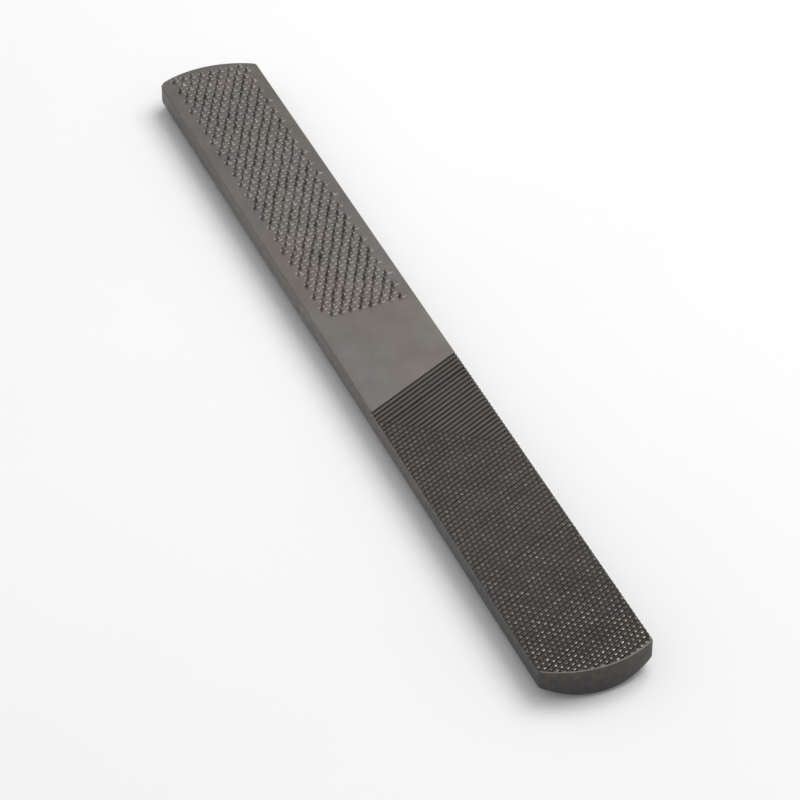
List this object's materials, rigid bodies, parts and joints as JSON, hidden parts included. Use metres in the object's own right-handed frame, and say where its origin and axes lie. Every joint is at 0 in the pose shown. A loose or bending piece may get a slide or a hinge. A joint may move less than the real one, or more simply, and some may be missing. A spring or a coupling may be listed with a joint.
{
  "type": "wood rasp",
  "caption": "Flat half-round steel bar for shaping wood, half punched rasp teeth and half double-cut file on each face, with a plain middle band.",
  "frame": {"origin": "below the middle of the bar, level with the lowest tooth tips of the round back", "axes": "+X along the bar from the rasp end of the flat face to its file end, +Y across the bar, +Z out of the flat face"},
  "size_m": [0.2, 0.0216, 0.0068],
  "materials": {
    "plain_steel": "matte, blasted grey steel",
    "punched_steel": "matte grey steel with bright tooth tips",
    "file_cut_steel": "dark satin chisel-cut steel"
  },
  "bodies": {
    "root": {"steel_blank": "plain_steel", "flat_rasp_face": "punched_steel", "flat_file_face": "file_cut_steel", "round_rasp_face": "punched_steel", "round_file_face": "file_cut_steel"}
  },
  "joints": []
}
